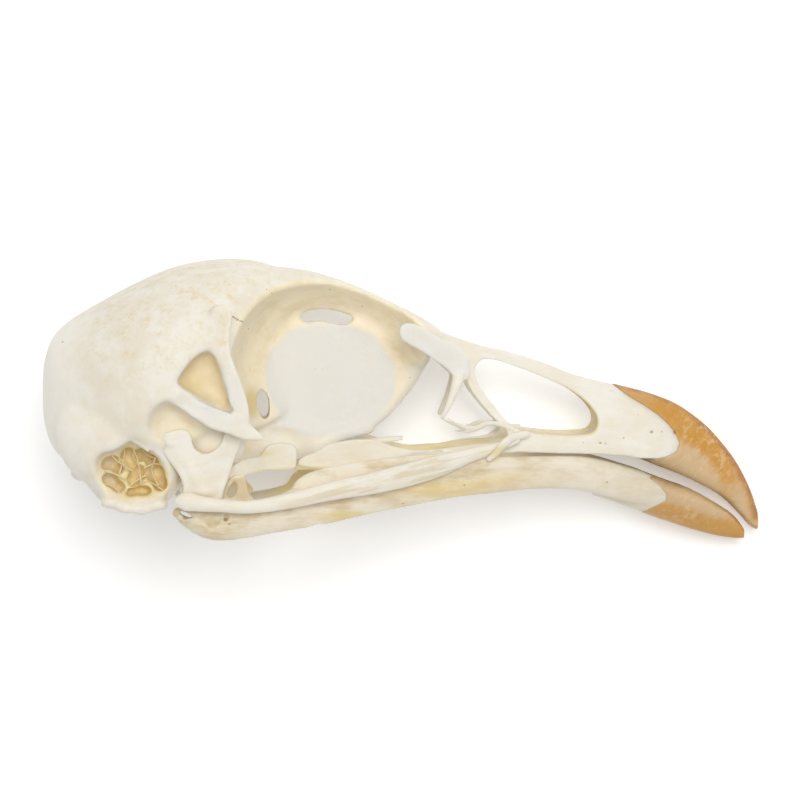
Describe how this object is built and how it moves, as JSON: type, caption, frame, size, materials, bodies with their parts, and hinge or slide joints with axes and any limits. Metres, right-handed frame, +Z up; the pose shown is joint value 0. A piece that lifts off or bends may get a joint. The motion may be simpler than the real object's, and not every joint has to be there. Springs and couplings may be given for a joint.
{
  "type": "chukar skull",
  "caption": "Skull of a chukar partridge with its lower jaw and horn bill, lying on its left side as on a table.",
  "frame": {"origin": "middle of the skull's bounding box on the surface it rests on", "axes": "+X runs from the back of the skull to the bill, +Y to the crown, +Z up, the way the skull's right side faces"},
  "size_m": [0.0536, 0.0214, 0.0218],
  "materials": {
    "bone": "cleaned dry bone, satin",
    "horn": "dry amber horn, satin and flaking"
  },
  "bodies": {
    "root": {"cranium": "bone", "lacrimal_right": "bone", "lacrimal_left": "bone", "upper_bill": "bone", "upper_horn": "horn", "vomer": "bone", "palatine_right": "bone", "palatine_left": "bone", "pterygoid_right": "bone", "pterygoid_left": "bone", "quadrate_right": "bone", "quadrate_left": "bone", "jugal_right": "bone", "jugal_left": "bone", "mandible": "bone", "lower_horn": "horn"}
  },
  "joints": []
}
